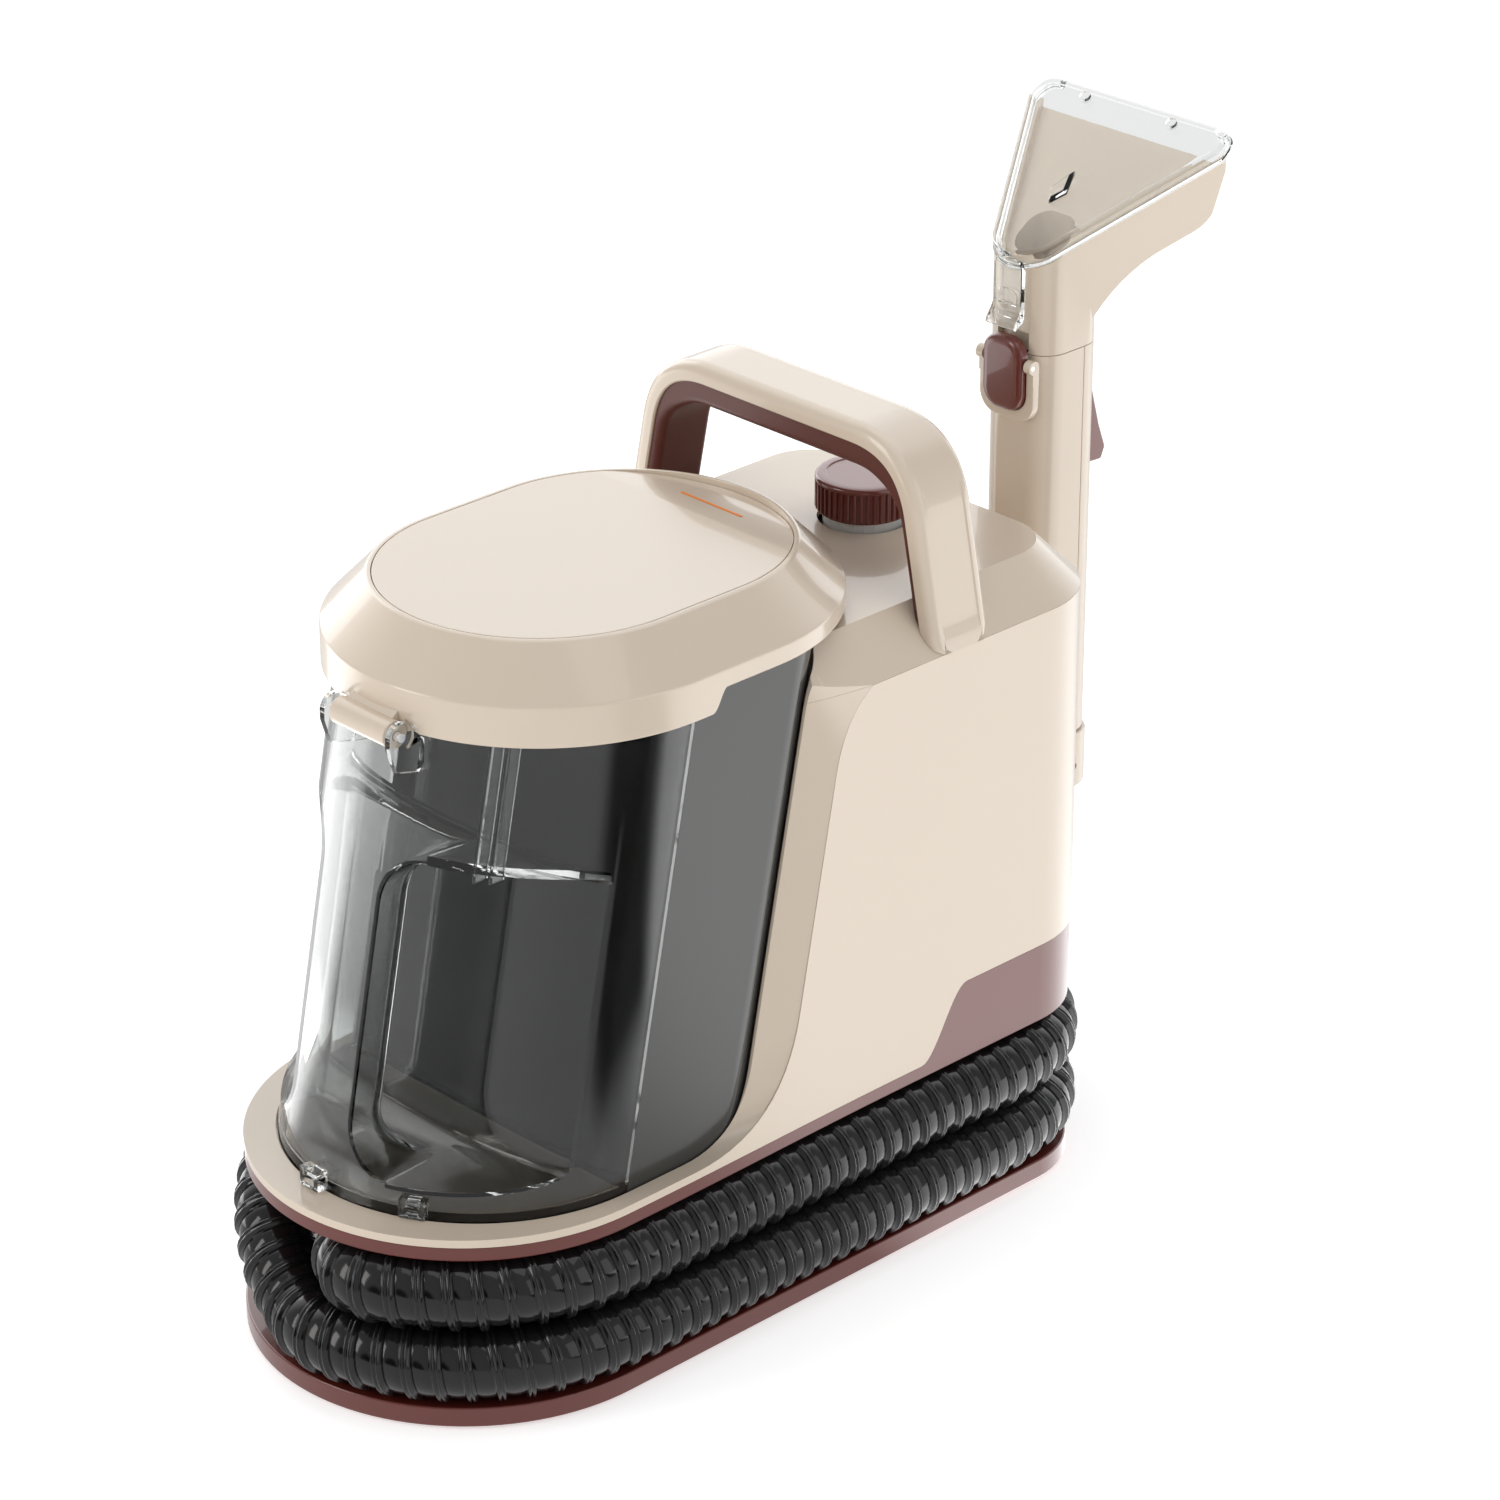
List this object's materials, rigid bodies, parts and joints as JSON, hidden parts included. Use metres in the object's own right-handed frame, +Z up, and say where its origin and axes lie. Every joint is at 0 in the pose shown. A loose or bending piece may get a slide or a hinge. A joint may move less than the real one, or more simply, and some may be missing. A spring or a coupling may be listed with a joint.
{
  "type": "carpet cleaner",
  "caption": "Portable upholstery and carpet spot cleaner: raked lift-off dirty water tank, hinged lid, carry handle, docked spray wand and corrugated hose round the waist.",
  "frame": {"origin": "bottom centre of the bounding box of the machine without its hose, on the surface it stands on", "axes": "+Z up, the tank end faces -Y, the docked wand stands at +Y, +X is the machine's side to the right when looking along +Y"},
  "size_m": [0.215, 0.5251, 0.4563],
  "materials": {
    "cream_plastic": "satin moulded plastic, warm cream",
    "maroon_plastic": "satin moulded plastic, deep maroon",
    "maroon_grip": "soft-touch maroon grip",
    "black_plastic": "black moulded plastic",
    "hose_black": "glossy black corrugated hose",
    "black_rubber": "matt black rubber",
    "clear_plastic": "clear moulded plastic",
    "smoke_plastic": "smoked grey plastic",
    "orange_accent": "orange accent",
    "white_plastic": "natural white plastic",
    "grey_metal": "grey motor can",
    "grey_plastic": "grey plastic",
    "steel": "bright steel",
    "board_green": "green circuit board"
  },
  "bodies": {
    "root": {"base_plate": "maroon_plastic", "foot_front_left": "black_rubber", "foot_front_right": "black_rubber", "foot_rear_left": "black_rubber", "foot_rear_right": "black_rubber", "waist_core": "black_plastic", "hose_port": "black_plastic", "lower_skirt": "maroon_plastic", "main_housing": "cream_plastic", "top_cover": "cream_plastic", "clean_tank": "white_plastic", "handle_shell": "cream_plastic", "handle_grip": "maroon_grip", "suction_motor": "grey_metal", "motor_bearing_lower": "steel", "motor_bearing_upper": "steel", "motor_mount": "black_plastic", "fan_housing": "black_plastic", "water_pump": "black_plastic", "feed_pipe": "white_plastic", "pressure_pipe": "white_plastic", "control_board": "board_green", "power_inlet": "black_plastic", "exhaust_grille": "black_plastic", "wand_dock": "cream_plastic", "dock_screw_lower": "steel", "dock_screw_upper": "steel", "suction_hose": "hose_black"},
    "rotor": {"motor_shaft": "steel", "motor_fan": "steel"},
    "cap": {"filler_cap": "maroon_plastic", "cap_seal": "black_rubber"},
    "power_switch": {"power_button": "maroon_plastic"},
    "dirty_tank": {"tank_shell": "clear_plastic", "separator_box": "smoke_plastic", "inlet_pipe": "smoke_plastic", "float_cage": "white_plastic", "hinge_pin": "steel"},
    "float": {"shutoff_float": "orange_accent"},
    "lid": {"lid_shell": "cream_plastic", "lid_panel": "cream_plastic", "lid_accent": "orange_accent", "lid_inner_plate": "cream_plastic", "lid_gasket": "black_rubber"},
    "wand": {"wand_front_shell": "cream_plastic", "wand_rear_shell": "cream_plastic", "wand_end_cap": "cream_plastic", "wand_suction_pipe": "smoke_plastic", "trigger_pin": "steel", "spray_valve": "black_plastic", "button_bezel": "cream_plastic", "release_pin": "steel", "hose_cuff": "black_plastic"},
    "trigger": {"spray_trigger": "maroon_plastic"},
    "plunger": {"valve_plunger": "steel"},
    "release": {"release_button": "maroon_plastic"},
    "tool_head": {"head_body": "cream_plastic", "head_brush": "black_rubber", "spray_nozzle": "grey_plastic"},
    "head_window": {"head_cover": "clear_plastic"}
  },
  "joints": [
    {"name": "rotor_spin", "type": "hinge", "parent": "root", "child": "rotor", "pos_m": [0, 0.0505, 0.15], "axis": [0, 0, 1], "continuous": true},
    {"name": "cap_turn", "type": "hinge", "parent": "root", "child": "cap", "pos_m": [0, 0.0785, 0.309], "axis": [0, 0, 1], "range_deg": [0, 360]},
    {"name": "power_press", "type": "slide", "parent": "root", "child": "power_switch", "axis": [0, -1, 0], "range_m": [0, 0.0025], "stiffness_N_per_m": 400},
    {"name": "tank_lift", "type": "slide", "parent": "root", "child": "dirty_tank", "axis": [0, 0, 1], "range_m": [0, 0.028]},
    {"name": "float_rise", "type": "slide", "parent": "dirty_tank", "child": "float", "axis": [0, 0, 1], "range_m": [0, 0.03]},
    {"name": "lid_hinge", "type": "hinge", "parent": "dirty_tank", "child": "lid", "pos_m": [0, -0.2095, 0.3], "axis": [1, 0, 0], "range_deg": [0, 100]},
    {"name": "wand_lift", "type": "slide", "parent": "root", "child": "wand", "axis": [0, 0, 1], "range_m": [0, 0.035]},
    {"name": "trigger_pull", "type": "hinge", "parent": "wand", "child": "trigger", "pos_m": [0, 0.2065, 0.334], "axis": [-1, 0, 0], "range_deg": [0, 6.5], "stiffness_Nm_per_rad": 0.3},
    {"name": "plunger_push", "type": "slide", "parent": "wand", "child": "plunger", "axis": [0, -1, 0], "range_m": [0, 0.0033]},
    {"name": "release_press", "type": "hinge", "parent": "wand", "child": "release", "pos_m": [0, 0.1685, 0.354], "axis": [1, 0, 0], "range_deg": [0, 5], "stiffness_Nm_per_rad": 0.3},
    {"name": "head_pull", "type": "slide", "parent": "wand", "child": "tool_head", "axis": [0, 0, 1], "range_m": [0, 0.04]},
    {"name": "cover_open", "type": "hinge", "parent": "tool_head", "child": "head_window", "pos_m": [0, 0.2554, 0.4497], "axis": [-1, 0, 0], "range_deg": [0, 60]}
  ],
  "couplings": [
    {"joint": "plunger_push", "follows": "trigger_pull", "m_per_rad": 0.028}
  ]
}
